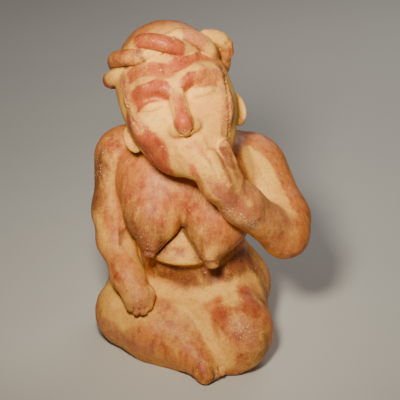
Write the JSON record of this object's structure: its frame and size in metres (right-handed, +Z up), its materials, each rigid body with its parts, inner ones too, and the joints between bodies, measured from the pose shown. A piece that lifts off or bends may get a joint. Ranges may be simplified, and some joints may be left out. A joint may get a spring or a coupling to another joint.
{
  "type": "pottery figure",
  "caption": "Seated pottery figure with folded legs, one hand at the mouth and the other on the thigh, and a twisted band round the head.",
  "frame": {"origin": "on the ground, under the middle of the figure's box", "axes": "+Z up, the figure's front towards -Y, +X to the right of a viewer in front of it"},
  "size_m": [0.1813, 0.1625, 0.2824],
  "materials": {
    "fired_clay": "worn red-orange slip over buff clay, low sheen"
  },
  "bodies": {
    "root": {"pottery_figure": "fired_clay"}
  },
  "joints": []
}
